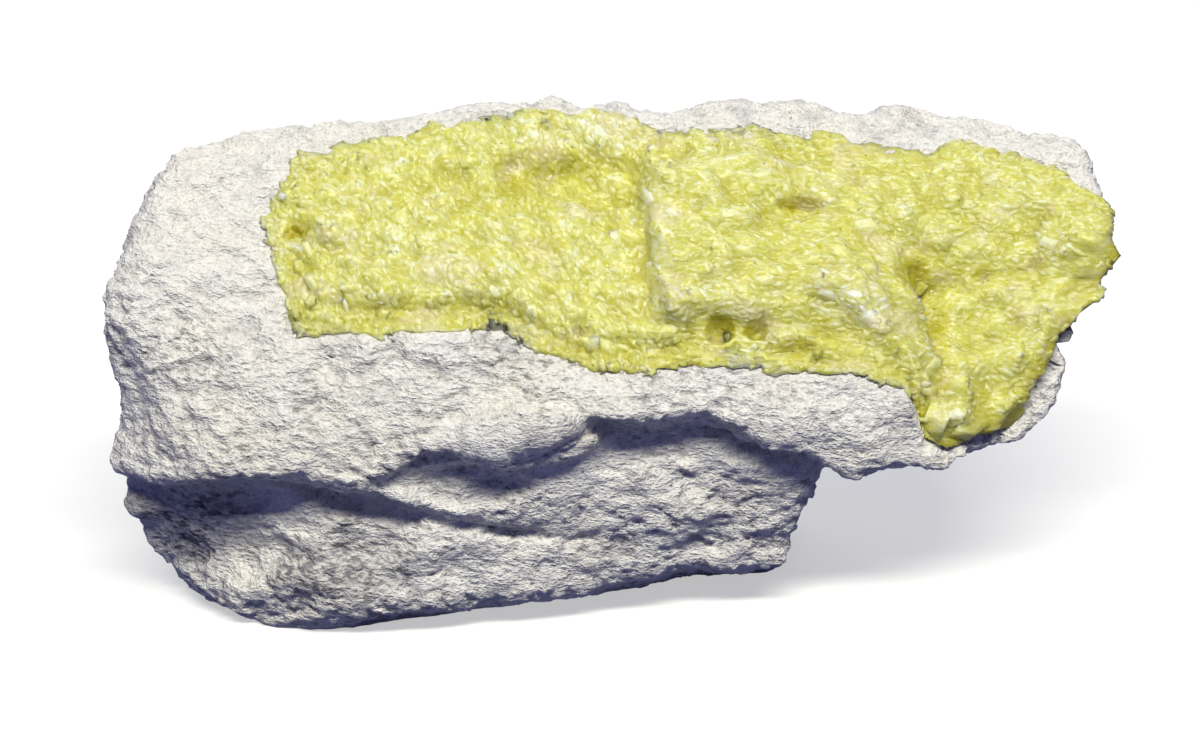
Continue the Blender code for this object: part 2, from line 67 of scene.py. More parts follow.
# Places painted greyer and darker as painted shade, where the block lies in shade: the same four, then how
# strongly.
SHADED_PLACES = ((-27, 0.5, 9, 4.5, 1.2), (-42, 4.5, 8, 6, 0.9), (-14, 7.6, 7, 2.4, 0.2), (-2, 2, 5, 3, 0.3))
# The front face leans back: the way up it, and the way straight out of it.
FACE_RISE = Vector((0.0, 0.4226, 0.9063))
OUTWARD = Vector((0.0, -0.9063, 0.4226))
BEDDING_DIP = 9
BEDDING = Matrix.Rotation(math.radians(BEDDING_DIP), 3, "Y")


def copied_node(name, copy_name):
    """A new object with a copy of a node's mesh, to be worked on."""
    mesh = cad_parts[name].data.copy()
    mesh.materials.clear()
    obj = bpy.data.objects.new(copy_name, mesh)
    bpy.context.scene.collection.objects.link(obj)
    return obj


def settle(obj):
    """Applies the object's modifiers to its mesh."""
    graph = bpy.context.evaluated_depsgraph_get()
    mesh = bpy.data.meshes.new_from_object(obj.evaluated_get(graph))
    obj.modifiers.clear()
    obj.data = mesh


def resampled(obj, cell, easing):
    """One even skin of small cells over the object, with the corners eased."""
    skin = obj.modifiers.new("skin", "REMESH")
    skin.mode, skin.voxel_size = "VOXEL", cell
    eased = obj.modifiers.new("eased", "SMOOTH")
    eased.factor, eased.iterations = 0.5, easing
    settle(obj)


def mesh_points(mesh):
    flat = np.empty(len(mesh.vertices) * 3, np.float32)
    mesh.vertices.foreach_get("co", flat)
    return flat.reshape(-1, 3).astype(float)


def mesh_normals(mesh):
    flat = np.empty(len(mesh.vertices) * 3, np.float32)
    mesh.vertices.foreach_get("normal", flat)
    return flat.reshape(-1, 3).astype(float)


def set_points(mesh, points):
    mesh.vertices.foreach_set("co", points.astype(np.float32).ravel())
    mesh.update()


def grain(points, size, octaves, stretch=(1.0, 1.0, 1.0), offset=0.0):
    """Fractal noise at each point, about -1 to 1, its lumps the given size and stretch."""
    scaled = points / (np.array(stretch) * size) + offset
    return np.array([noise.fractal(p, 0.9, 2.1, octaves) for p in scaled.tolist()])


def smoothstep(value):
    value = np.clip(value, 0.0, 1.0)
    return value * value * (3.0 - 2.0 * value)


def bell(points, place):
    """A smooth hump, 1 in the middle of the place and 0 at its rim."""
    x, rise, half_x, half_rise = place[:4]
    across = (points[:, 0] / MM - x) / half_x
    up = (points @ np.array(FACE_RISE) / MM - rise) / half_rise
    return np.clip(1.0 - across ** 2 - up ** 2, 0.0, 1.0)


def float_attribute(mesh, name, values, domain="POINT"):
    made = mesh.attributes.new(name, "FLOAT", domain)
    made.data.foreach_set("value", np.asarray(values, np.float32))


def triangle_count(mesh):
    return sum(len(face.vertices) - 2 for face in mesh.polygons)


def ray_tree(obj):
    return BVHTree.FromObject(obj, bpy.context.evaluated_depsgraph_get())


WEIGHT_LEVELS = 4
SPIKE = 0.15 * MM


def thinned(obj, faces, weights=None):
    """Fewer triangles on the object, kept where the weights are low, with no spike off its surface."""
    whole = ray_tree(obj)
    thin = obj.modifiers.new("thinned", "DECIMATE")
    thin.ratio = min(1.0, faces / triangle_count(obj.data))
    if weights is not None:
        group = obj.vertex_groups.new(name="plain")
        for level in range(1, WEIGHT_LEVELS + 1):
            members = np.flatnonzero(np.round(weights * WEIGHT_LEVELS) == level)
            group.add(members.tolist(), level / WEIGHT_LEVELS, "REPLACE")
        thin.vertex_group, thin.vertex_group_factor = "plain", 4.0
    settle(obj)
    for vertex in obj.data.vertices:
        spot, _, _, off = whole.find_nearest(vertex.co)
        if off > SPIKE:
            vertex.co = spot


# The grid over the front face, in millimetres: its reach along x and up the face, its cell, and how
# many cells wide the bank of stone is. The bank stops short of the overhanging right end.
GRID_LEFT, GRID_RIGHT, GRID_LOW, GRID_HIGH = -54.0, 54.0, 4.0, 52.0
BANK_CELL, BANK_RINGS = 0.6, 10
BANK_SHARE = 0.6
BANK_STEP, BANK_LIMIT = 0.35 * MM, 4.0 * MM
BANK_END, BANK_FADE = 27.0, 8.0
CRUST_REACH = 6.0 * MM
FAR_OUT = 60.0


def crust_face(tree, cell, rings):
    """The crust's face on a grid over the block: how far out it stands, and how far off its rim lies."""
    xs = np.arange(GRID_LEFT, GRID_RIGHT, cell)
    ups = np.arange(GRID_LOW, GRID_HIGH, cell)
    level = np.zeros((len(xs), len(ups)))
    for i, x in enumerate(xs):
        for j, up in enumerate(ups):
            start = (Vector((x, 0.0, 0.0)) + FACE_RISE * float(up) + OUTWARD * FAR_OUT) * MM
            spot = tree.ray_cast(start, -OUTWARD)[0]
            level[i, j] = 0.0 if spot is None else spot.dot(OUTWARD)
    covered = level != 0.0
    off = np.where(covered, rings, 0) * cell
    inner = covered.copy()
    for ring in range(rings):
        core = inner.copy()
        for axis in (0, 1):
            core &= np.roll(inner, 1, axis) & np.roll(inner, -1, axis)
        off[inner & ~core] = ring * cell
        inner = core
    outer = covered.copy()
    for ring in range(1, rings + 1):
        total, count = np.zeros(level.shape), np.zeros(level.shape)
        for axis, step in ((0, 1), (0, -1), (1, 1), (1, -1)):
            beside = np.roll(outer, step, axis)
            total += np.where(beside, np.roll(level, step, axis), 0.0)
            count += beside
        fresh = ~outer & (count > 0)
        level[fresh] = total[fresh] / count[fresh]
        off[fresh] = ring * cell
        outer |= fresh
    return level, np.where(outer, off, rings * cell)


def short_of_end(points):
    """1 along most of the block, easing to 0 towards its overhanging right end."""
    return 1.0 - smoothstep((points[:, 0] / MM - BANK_END) / BANK_FADE)


def banked_up(points, normals, tree):
    """The points raised near the crust's rim, over halfway to the level of its face."""
    level, off = crust_face(tree, BANK_CELL, BANK_RINGS)
    i = np.clip((points[:, 0] / MM - GRID_LEFT) / BANK_CELL, 0, level.shape[0] - 1).astype(int)
    up = points @ np.array(FACE_RISE) / MM
    j = np.clip((up - GRID_LOW) / BANK_CELL, 0, level.shape[1] - 1).astype(int)
    below = level[i, j] - points @ np.array(OUTWARD)
    open_face = (normals @ np.array(OUTWARD) > 0.1) & (below < CRUST_REACH) & (level[i, j] != 0.0)
    near = (1.0 - smoothstep(off[i, j] / (BANK_RINGS * BANK_CELL))) * short_of_end(points)
    raised = BANK_SHARE * np.clip(below - BANK_STEP, 0.0, BANK_LIMIT) * near * open_face
    return points + np.outer(raised, OUTWARD)


bed_tree = ray_tree(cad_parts["sulfur_crust"])
block = copied_node("limestone_matrix", "limestone_block")
resampled(block, STONE_CELL, STONE_EASING)
set_points(block.data, banked_up(mesh_points(block.data), mesh_normals(block.data), bed_tree))

# The stone's wear, in layers from lumps down to crumbs, with pits in some patches. The crest and the
# foot are worn least.
points, normals = mesh_points(block.data), mesh_normals(block.data)
bedded = points @ np.array(BEDDING)
warp = grain(bedded, 4 * MM, 2, offset=11.0)[:, None] * np.array([0.6, 0.6, 1.0]) * MM
lumps = grain(bedded, 6.5 * MM, 3, (1.5, 1.1, 0.8))
clods = grain(bedded + warp, 2.4 * MM, 3, (1.5, 1.2, 0.8), 5.0)
crumbs = grain(bedded, 0.85 * MM, 2, (1.15, 1.0, 0.85), 9.0)
patchy = smoothstep(0.55 + 1.3 * grain(bedded, 11 * MM, 2, (1.3, 1.0, 0.8), 15.0))
pocks = grain(bedded + warp, 1.5 * MM, 3, (1.5, 1.2, 0.8), 25.0)
pits = smoothstep((pocks - 0.08) / 0.4) * (0.25 + 0.75 * patchy)
crest = smoothstep((points[:, 2] / MM - CREST_START) / CREST_FADE)
above_base = smoothstep(points[:, 2] / BASE_FADE)
calmer = 1.0 - 0.6 * crest
worn = (0.20 + 0.30 * lumps * calmer + 0.26 * clods + 0.26 * crumbs - 0.42 * pits * calmer) * MM
for place in STONE_SWELLS:
    turned_back = 0.7 if place[0] > RIGHT_END else 0.1
    facing = smoothstep((turned_back - normals[:, 1]) / 0.4)
    worn += smoothstep(1.5 * bell(points, place)) * place[4] * MM * facing
set_points(block.data, points + normals * (worn * (0.10 + 0.90 * above_base))[:, None])
float_attribute(block.data, "smooth", 0.25 * smoothstep((points[:, 2] / MM - SMOOTH_START) / SMOOTH_FADE))
# Painted shade: this measure darkens the colour in the pits and in the troughs between the crumbs.
float_attribute(block.data, "hollow", np.clip(0.1 + 0.9 * pits - 0.3 * crumbs, 0.0, 1.0))
# Painted shade: front-facing stone in these places is darkened and greyed, more on the lumps.
painted_shading = sum(place[4] * smoothstep(1.6 * bell(points, place)) for place in SHADED_PLACES)
painted_shading = painted_shading * (normals[:, 1] < 0.2) * (0.7 + 1.2 * lumps)
float_attribute(block.data, "painted_shade", np.clip(painted_shading, 0.0, 1.0))

# Stone that the crust hides needs fewer triangles.
buried = np.zeros(len(points))
for k, point in enumerate(points.tolist()):
    spot, normal, _, distance = bed_tree.find_nearest(point, BURIED_REACH)
    if spot is None:
        continue
    within = (Vector(point) - spot).dot(normal) < 0 and distance > BURIED_DEPTH
    below = normal.z < -0.3 and points[k, 1] > spot.y - 0.2 * MM and distance < 0.9 * MM
    buried[k] = within or below
thinned(block, STONE_FACES, buried * 0.75)
block.data.shade_smooth()


def new_material(name):
    made = bpy.data.materials.new(name)
    made.use_nodes = True
    return made, made.node_tree, made.node_tree.nodes["Principled BSDF"]


def add_node(tree, kind, **inputs):
    node = tree.nodes.new(kind)
    for key, value in inputs.items():
        node.inputs[key.replace("_", " ")].default_value = value
    return node


def ramp(tree, source, stops):
    """A colour ramp fed by a socket. The stops are (position, colour)."""
    node = tree.nodes.new("ShaderNodeValToRGB")
    elements = node.color_ramp.elements
    while len(elements) < len(stops):
        elements.new(0.5)
    for element, (position, colour) in zip(elements, stops):
        element.position = position
        element.color = (*colour, 1.0)
    tree.links.new(source, node.inputs["Fac"])
    return node.outputs["Color"]


def mixed(tree, factor, first, second, blend="MIX"):
    """Two colours mixed. Each of the three may be a socket or a plain value."""
    node = tree.nodes.new("ShaderNodeMix")
    node.data_type, node.blend_type = "RGBA", blend
    for index, value in ((0, factor), (6, first), (7, second)):
        if isinstance(value, bpy.types.NodeSocket):
            tree.links.new(value, node.inputs[index])
        else:
            node.inputs[index].default_value = value if index == 0 else (*value, 1.0)
    return node.outputs[2]


def math_node(tree, operation, first, second=0.0, clamp=False):
    node = tree.nodes.new("ShaderNodeMath")
    node.operation, node.use_clamp = operation, clamp
    for index, value in enumerate((first, second)):
        if isinstance(value, bpy.types.NodeSocket):
            tree.links.new(value, node.inputs[index])
        else:
            node.inputs[index].default_value = value
    return node.outputs[0]


def stretched_place(tree, size, dip=0.0):
    """Object coordinates in units of a pattern size (x, y, z in millimetres), turned by a dip in degrees."""
    place = tree.nodes.new("ShaderNodeTexCoord")
    mapping = tree.nodes.new("ShaderNodeMapping")
    mapping.vector_type = "TEXTURE"
    mapping.inputs["Scale"].default_value = [length * MM for length in size]
    mapping.inputs["Rotation"].default_value = (0.0, math.radians(dip), 0.0)
    tree.links.new(place.outputs["Object"], mapping.inputs["Vector"])
    return mapping.outputs["Vector"]


def noise_texture(tree, place, scale, detail, roughness=0.55):
    node = add_node(tree, "ShaderNodeTexNoise", Scale=scale, Detail=detail, Roughness=roughness)
    tree.links.new(place, node.inputs["Vector"])
    return node.outputs["Fac"]


def attribute(tree, name):
    node = tree.nodes.new("ShaderNodeAttribute")
    node.attribute_name = name
    return node.outputs["Fac"]


def specks_group():
    """A group that scatters small specks: Mask is 1 in a speck, Spacing and Size are in millimetres."""
    group = bpy.data.node_groups.new("specks", "ShaderNodeTree")
    for name, value in (("Spacing", 1.0), ("Size", 0.1), ("Share", 0.5)):
        group.interface.new_socket(name, in_out="INPUT", socket_type="NodeSocketFloat").default_value = value
    group.interface.new_socket("Mask", in_out="OUTPUT", socket_type="NodeSocketFloat")
    given, result = group.nodes.new("NodeGroupInput"), group.nodes.new("NodeGroupOutput")
    place = group.nodes.new("ShaderNodeTexCoord")
    cells = group.nodes.new("ShaderNodeTexVoronoi")
    group.links.new(place.outputs["Object"], cells.inputs["Vector"])
    group.links.new(math_node(group, "DIVIDE", 1.0 / MM, given.outputs["Spacing"]), cells.inputs["Scale"])
    reach = math_node(group, "DIVIDE", given.outputs["Size"], given.outputs["Spacing"])
    near = math_node(group, "LESS_THAN", cells.outputs["Distance"], reach)
    chance = group.nodes.new("ShaderNodeSeparateColor")
    group.links.new(cells.outputs["Color"], chance.inputs["Color"])
    chosen = math_node(group, "LESS_THAN", chance.outputs["Red"], given.outputs["Share"])
    group.links.new(math_node(group, "MULTIPLY", near, chosen), result.inputs["Mask"])
    return group


def specks(tree, spacing, size, share):
    node = tree.nodes.new("ShaderNodeGroup")
    node.node_tree = bpy.data.node_groups.get("specks") or specks_group()
    node.inputs["Spacing"].default_value = spacing
    node.inputs["Size"].default_value = size
    node.inputs["Share"].default_value = share
    return node.outputs["Mask"]


chalk, tree, surface = new_material("chalky limestone")
dashes = noise_texture(tree, stretched_place(tree, (1.05, 0.95, 0.42), BEDDING_DIP), 1.0, 3.0, 0.6)
fine = noise_texture(tree, stretched_place(tree, (0.38, 0.36, 0.30)), 1.0, 2.0, 0.6)
patches = noise_texture(tree, stretched_place(tree, (9.0, 8.0, 5.0), BEDDING_DIP), 1.0, 3.0)
broad = noise_texture(tree, stretched_place(tree, (11.0, 11.0, 8.0)), 1.0, 3.0)
body = ramp(tree, broad, (
    (0.3, (0.81, 0.785, 0.645)), (0.5, (0.82, 0.80, 0.68)), (0.72, (0.83, 0.815, 0.715)),
))
# Painted shade: the body colour is darkened in the pits and between the crumbs.
pit_shaded = mixed(tree, math_node(tree, "MULTIPLY", attribute(tree, "hollow"), 0.5), body, (0.45, 0.435, 0.41))
# Painted shade: dark dashes along the bedding darken the fine creases of the pitted patches.
crease_shade = ramp(tree, dashes, (
    (0.36, (0.42, 0.42, 0.425)), (0.44, (0.82, 0.82, 0.82)), (0.50, (1.0, 1.0, 1.0)),
))
pitted = ramp(tree, math_node(tree, "SUBTRACT", patches, attribute(tree, "smooth")), (
    (0.25, (0.0, 0.0, 0.0)), (0.42, (0.2, 0.2, 0.2)), (0.58, (1.0, 1.0, 1.0)),
))
crease_shaded = mixed(tree, pitted, pit_shaded, mixed(tree, 1.0, pit_shaded, crease_shade, "MULTIPLY"))
grains = ramp(tree, fine, (
    (0.35, (0.78, 0.78, 0.78)), (0.5, (0.95, 0.95, 0.95)), (0.6, (0.98, 0.98, 0.98)),
))
grained = mixed(tree, 1.0, crease_shaded, grains, "MULTIPLY")
# Painted shade: the shaded places are darkened towards a cool grey, in clots along the bedding dashes.
shade_clots = ramp(tree, dashes, ((0.44, (1.0, 1.0, 1.0)), (0.58, (0.25, 0.25, 0.25))))
painted_shade = mixed(
    tree, math_node(tree, "MULTIPLY", attribute(tree, "painted_shade"), shade_clots),
    grained, mixed(tree, 1.0, grained, (0.36, 0.36, 0.40), "MULTIPLY"),
)
rust = math_node(tree, "MULTIPLY", specks(tree, 3.0, 0.16, 0.3), 0.6)
rusty = mixed(tree, rust, painted_shade, (0.48, 0.27, 0.20))
tree.links.new(rusty, surface.inputs["Base Color"])
surface.inputs["Roughness"].default_value = 0.95
surface.inputs["Specular IOR Level"].default_value = 0.2
relief = math_node(
    tree, "ADD", math_node(tree, "MULTIPLY", dashes, 0.8), math_node(tree, "MULTIPLY", fine, 0.6),
)
bump = add_node(tree, "ShaderNodeBump", Strength=1.0, Distance=0.0006)
tree.links.new(relief, bump.inputs["Height"])
tree.links.new(bump.outputs["Normal"], surface.inputs["Normal"])
block.data.materials.append(chalk)
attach(block, "root")
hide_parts("limestone_matrix")


# ---- The sulfur crust -----------------------------------------------------------------------------
# A bed of native sulfur grown on the stone: small blunt crystals, glassy to frosted, grown through
# each other. The bed is one skin rooted in the stone, and each crystal is grown into it.

CRUST_CELL = 0.34 * MM
CRUST_EASING = 8
CRUST_BED_FACES = 17000
# The crust's open face: the way out of it, and the way down it.
BED_NORMAL = Vector((0.0, -0.55, 0.835)).normalized()
BED_DOWN = Vector((0.0, -0.835, -0.55)).normalized()
# Places on the crust are x along the block and rise up its leaning face, then the half-widths both ways, in
# millimetres. Hollows end with their depth and tints with how much paler they are: a tint is partly the paler
# frosting of the place, partly painted shade where it is darker in the shaded hollows and pits, and partly
# painted light on the shaded flank of the ridge.
HOLLOWS = (
    (10.1, 22.9, 1.6, 1.7, 1.1), (13.6, 22.9, 1.4, 1.2, 0.9), (18.2, 35.3, 2.4, 0.8, 0.7),
    (-31.6, 32.3, 1.3, 0.8, 0.8), (-3.6, 22.7, 0.9, 0.7, 0.5),
    (28.9, 28.5, 2.4, 1.6, 0.2), (36.1, 28.3, 1.2, 0.8, 0.6), (0.4, 35.4, 1.2, 0.7, 0.5),
    (16.4, 21.3, 3.2, 1.2, 0.7),
)
TINTS_AND_SHADE = (
    (3.8, 31, 1.5, 9, 0.35), (-1.6, 43.5, 5, 1.6, 0.5), (11.4, 42, 3, 1.4, 0.4), (23.4, 24.9, 4, 2.4, 0.5),
    (47, 33, 3, 3.5, -0.1), (32.4, 14.6, 1.6, 3, 0.35), (2.2, 31, 1.2, 8, 0.25), (-28, 23, 9, 2, 0.2),
    (-24, 31, 5, 2.5, 0.2), (-6.6, 38.5, 7, 3, -0.45),
    (-12, 35.5, 6, 1.2, -0.25), (31, 29, 4.5, 3.4, -0.45), (35, 20, 9, 5, -0.1), (6, 19.8, 12, 1.8, -0.2),
    (19.5, 21, 4.5, 2, -0.35), (10.1, 22.9, 1.7, 1.9, -0.55), (13.6, 22.9, 1.5, 1.4, -0.55),
    (18.2, 35.3, 2.6, 1.1, -0.7), (-31.6, 32.3, 1.6, 1.1, -0.7), (28.9, 28.5, 2.4, 1.6, -0.4),
)
RIDGE, NOSE = TINTS_AND_SHADE[0], (34.5, 13.0, 4.5, 3.5)
PITS = HOLLOWS[:2]
# Large blades: x and rise, how long and wide, which way they run in degrees, and how frosted.
BLADES = (
    (32.0, 15.8, 6.2, 2.8, 76, 0.22), (35.2, 13.9, 4.8, 2.2, 34, 0.06), (38.6, 14.4, 4.6, 2.0, 30, 0.08),
    (3.9, 34.5, 4.6, 1.5, 88, 0.4), (4.0, 30.6, 4.4, 1.4, 92, 0.4), (3.9, 26.8, 4.0, 1.5, 86, 0.4),
)
# The rim: how far in it wanders, how far in and how much it is lowered onto the stone and how high it
# is left, and how far in and how deep it is rooted.
RIM_CELL, RIM_RINGS = 0.4 * MM, 14
RAGGED_REACH, RAGGED_SHARE = 2.8 * MM, 0.75
LOWERED_REACH, LOWERED_LIMIT, LOWERED_GAP = 5.6 * MM, 2.6 * MM, 0.25 * MM
ROOT_REACH, ROOT_DEPTH, ROOT_LIMIT, ROOTED_WITHIN = 2.4 * MM, 1.5 * MM, 4.8 * MM, 3.2 * MM
LEAST_THICKNESS = 0.3 * MM
NO_STONE = 1.0
rng = random.Random(7)
stone_tree = ray_tree(block)


def stone_gap(points):
    """How far each point stands outside the stone, negative inside it."""
    gaps = []
    for point in points.tolist():
        spot, normal, _, distance = stone_tree.find_nearest(point)
        outside = (Vector(point) - spot).dot(normal) > 0
        gaps.append(distance if outside else -distance)
    return np.array(gaps)


def drop_to_stone(points, gaps):
    """How far each point is from the stone, straight back into it; negative if it is inside already."""
    drops = []
    for point, gap in zip(points.tolist(), gaps.tolist()):
        distance = stone_tree.ray_cast(point, -OUTWARD)[3] if gap > 0 else gap
        drops.append(NO_STONE if distance is None else distance)
    return np.array(drops)


def inside_edge(points, cell, rings):
    """How far each point of the crust lies inside its outline, up to the given number of cells."""
    i = ((points[:, 0] - points[:, 0].min()) / cell).astype(int) + 2
    down = points @ np.array(BED_DOWN)
    j = ((down - down.min()) / cell).astype(int) + 2
    covered = np.zeros((i.max() + 3, j.max() + 3), bool)
    for step_i, step_j in ((0, 0), (1, 0), (0, 1), (1, 1)):
        covered[i + step_i, j + step_j] = True
    rings_in = covered.astype(float)
    for _ in range(rings):
        core = covered.copy()
        for axis in (0, 1):
            core &= np.roll(covered, 1, axis) & np.roll(covered, -1, axis)
        rings_in += core
        covered = core
    return (rings_in[i, j] - 1.0) * cell


# The bed's face swells and rolls, its rim wanders, and near the rim it is lowered onto the stone. Its
# walls and underside are rooted in the stone.
crust = copied_node("sulfur_crust", "sulfur_druse")
resampled(crust, CRUST_CELL, CRUST_EASING)
points, normals = mesh_points(crust.data), mesh_normals(crust.data)
open_side = smoothstep((normals @ np.array(BED_NORMAL) - 0.1) / 0.5)
rolls = grain(points, 5.5 * MM, 2, (1.3, 1.0, 1.0), 13.0)
swell = 0.12 + 0.12 * grain(points, 2.2 * MM, 3, (1.2, 1.0, 1.0), 3.0) + 0.26 * rolls
points = points + normals * ((swell * open_side + 0.35 * (1.0 - open_side)) * MM)[:, None]
inward = inside_edge(points, RIM_CELL, RIM_RINGS)
ragged = (1.0 - smoothstep(inward / RAGGED_REACH)) * RAGGED_SHARE * MM
points += np.outer(ragged * grain(points, 2.6 * MM, 2, offset=31.0), (1.0, 0.0, 0.0))
points += np.outer(ragged * grain(points, 2.6 * MM, 2, offset=41.0), BED_DOWN)
gap = stone_gap(points)
drop = drop_to_stone(points, gap)
rim = (1.0 - smoothstep(inward / LOWERED_REACH)) * short_of_end(points)
lowered = np.where(drop < CRUST_REACH, np.clip(drop - LOWERED_GAP, 0.0, LOWERED_LIMIT), 0.0) * rim * open_side
under = np.maximum(1.0 - smoothstep(inward / ROOT_REACH), normals @ np.array(BED_NORMAL) < -0.15)
rooted = np.where(drop < ROOTED_WITHIN, np.clip(drop + ROOT_DEPTH, 0.0, ROOT_LIMIT), 0.0)
rooted = rooted * (1.0 - open_side) * under
points += np.outer(lowered + rooted, -OUTWARD)
sinking = sum(bell(points, place) * place[4] for place in HOLLOWS) * open_side * MM
room = np.clip(stone_gap(points) - LEAST_THICKNESS, 0.0, None)
set_points(crust.data, points - np.outer(np.minimum(sinking, room), BED_NORMAL))
thinned(crust, CRUST_BED_FACES, 1.0 - open_side)
crust.data.shade_smooth()

# Crystals: how many, how often a spot is tried for each, how near they may stand and how much crust
# they need below them for their size. A kind is its share of the draws so far and its sizes in
# millimetres. A large one lies flatter in the crust and is more often frosted.
CRYSTALS, TRIES = 4000, 12
SPACING, NEEDED_DEPTH = 0.28, 0.3
SIZE_KINDS = ((0.08, 1.4, 2.3), (0.48, 0.95, 1.4), (1.0, 0.6, 0.95))
LARGE = 1.4 * MM
SPOT_CELL = 1.6 * MM
# Where the crust is smooth, this share of the crystals stays away.
LEFT_SMOOTH = 0.9


def in_smooth_place(place):
    """Whether a crystal's place is in a smooth-walled pit, on the waxy ridge or on the nose."""
    spot = np.array([place[:]])
    smooth = any(bell(spot, hollow)[0] > 0.25 for hollow in PITS + (RIDGE, NOSE))
    return smooth and rng.random() < LEFT_SMOOTH


def grain_sizes():
    """The size of the next crystal: mostly fine, some middling, few large."""
    draw = rng.random()
    least, most = next((least, most) for share, least, most in SIZE_KINDS if draw < share)
    return rng.uniform(least, most) * MM


def beside(cells, key):
    """What a grid of cells holds in the cell of a key and in the cells around it."""
    steps = (-1, 0, 1)
    return [held for dx in steps for dy in steps for dz in steps
            for held in cells.get((key[0] + dx, key[1] + dy, key[2] + dz), ())]


def scatter_spots(mesh, count, spacing):
    """Evenly random spots on the open side of the crust, with their normals and sizes."""
    mesh.calc_loop_triangles()
    corners = mesh_points(mesh)
    triangles = np.array([t.vertices[:] for t in mesh.loop_triangles])
    a, b, c = (corners[triangles[:, k]] for k in range(3))
    cross = np.cross(b - a, c - a)
    areas = np.linalg.norm(cross, axis=1) / 2.0
    facing = cross / np.maximum(2.0 * areas[:, None], 1e-18)
    chance = np.cumsum(areas * (facing @ np.array(BED_NORMAL) > 0.25))
    chance /= chance[-1]
    normals = mesh_normals(mesh)
    spots, cells = [], {}
    tries = 0
    while len(spots) < count and tries < TRIES * count:
        tries += 1
        k = int(np.searchsorted(chance, rng.random()))
        u, v = rng.random(), rng.random()
        if u + v > 1.0:
            u, v = 1.0 - u, 1.0 - v
        place = Vector(a[k] + (b[k] - a[k]) * u + (c[k] - a[k]) * v)
        size = grain_sizes()
        key = tuple(int(q // SPOT_CELL) for q in place)
        if any((place - other).length < spacing * (size + big) for other, big in beside(cells, key)):
            continue
        if stone_gap(np.array([place[:]]))[0] < NEEDED_DEPTH * size or in_smooth_place(place):
            continue
        cells.setdefault(key, []).append((place, size))
        spots.append((place, Vector(normals[triangles[k][0]]), size))
    return spots


spots = scatter_spots(crust.data, CRYSTALS, SPACING)
# Left of the divide the crystals run steeply, and right of it they lie nearly level. The trends are
# in degrees, each with its spread.
DIVIDE = 3.0 * MM
STEEP_TREND, LEVEL_TREND = (55.0, 28.0), (8.0, 28.0)
# A crystal's width as a share of its length.
BROAD, NARROW = (0.4, 0.75), (0.25, 0.55)


def crystal_turn(normal, trend):
    """A rotation whose Z lies along the normal and whose X follows the trend."""
    level = Vector((1.0, 0.0, 0.0))
    across = normal.cross(level).normalized()
    along = (across.cross(normal).normalized() * math.cos(trend) - across * math.sin(trend)).normalized()
    side = normal.cross(along).normalized()
    return Matrix((along, side, normal)).transposed()


def crystal_points(long, wide, proud, spread):
    """A blunt plate: its flat top, and its wider root below."""
    sides = rng.choice((4, 5, 5, 6))
    start = rng.random() * math.tau
    angles = [start + math.tau * (k + rng.uniform(-0.2, 0.2)) / sides for k in range(sides)]
    top = [Vector((math.cos(a) * long, math.sin(a) * wide, proud)) for a in angles]
    depth = rng.uniform(0.55, 0.8) * long
    root = [Vector((math.cos(a) * long * spread, math.sin(a) * wide * spread, proud - depth)) for a in angles]
    return top + root


def crystal_group(spots):
    """Small crystals as one mesh, each lying nearly flat in the crust along the trend of its side."""
    bm = bmesh.new()
    frost = bm.faces.layers.float.new("frost")
    for place, normal, size in spots:
        on_steep_side, large = place.x < DIVIDE, size > LARGE
        turn = crystal_turn(normal, math.radians(rng.gauss(*(STEEP_TREND if on_steep_side else LEVEL_TREND))))
        tilt = 0.08 if large else 0.13
        lean = Matrix.Rotation(rng.gauss(0, tilt), 3, "X") @ Matrix.Rotation(rng.gauss(0, tilt), 3, "Y")
        long = size * 0.5
        wide = long * rng.uniform(*(BROAD if on_steep_side or large else NARROW))
        proud = rng.uniform(0.01, 0.07) * MM + (0.03 if large else 0.02) * size
        hull = crystal_points(long, wide, proud, rng.uniform(1.3, 1.7))
        shade = rng.random() ** (0.8 if large else 2.0)
        add_hull(bm, frost, [place + turn @ (lean @ p) for p in hull], shade)
    return crystal_mesh(bm)


def blade_group():
    """The few large blades, each lying in the face of the crust."""
    bm = bmesh.new()
    frost = bm.faces.layers.float.new("frost")
    face = ray_tree(crust)
    for x, rise, length, width, trend, shade in BLADES:
        start = (Vector((x, 0.0, 0.0)) + FACE_RISE * rise + OUTWARD * FAR_OUT) * MM
        place, normal, _, _ = face.ray_cast(start, -OUTWARD)
        if place is None:
            continue
        turn = crystal_turn((normal + BED_NORMAL).normalized(), math.radians(-trend))
        hull = crystal_points(length * MM / 2.0, width * MM / 2.0, 0.12 * MM, 1.25)
        add_hull(bm, frost, [place + turn @ p for p in hull], shade)
    return crystal_mesh(bm)


def add_hull(bm, frost, corners, shade):
    """One crystal, the hull of its corners, with its frosting."""
    made = bmesh.ops.convex_hull(bm, input=[bm.verts.new(p) for p in corners])
    for face in made["geom"]:
        if isinstance(face, bmesh.types.BMFace):
            face[frost] = shade
    loose = [v for v in made["geom_interior"] if isinstance(v, bmesh.types.BMVert)]
    bmesh.ops.delete(bm, geom=loose, context="VERTS")


def crystal_mesh(bm):
    """The finished crystals as a mesh with hard edges."""
    mesh = bpy.data.meshes.new("crystals")
    bm.to_mesh(mesh)
    bm.free()
    mesh.shade_flat()
    return mesh


def sorted_apart(spots, groups):
    """The spots in groups, in each of which no two crystals touch."""
    held = [{} for _ in range(groups)]
    result = [[] for _ in range(groups)]
    for spot in spots:
        place, _, size = spot
        key = tuple(int(q // GROUP_CELL) for q in place)
        for cells, group in zip(held, result):
            if all((place - p).length > APART * (size + s) for p, s in beside(cells, key)):
                cells.setdefault(key, []).append((place, size))
                group.append(spot)
                break
    return result


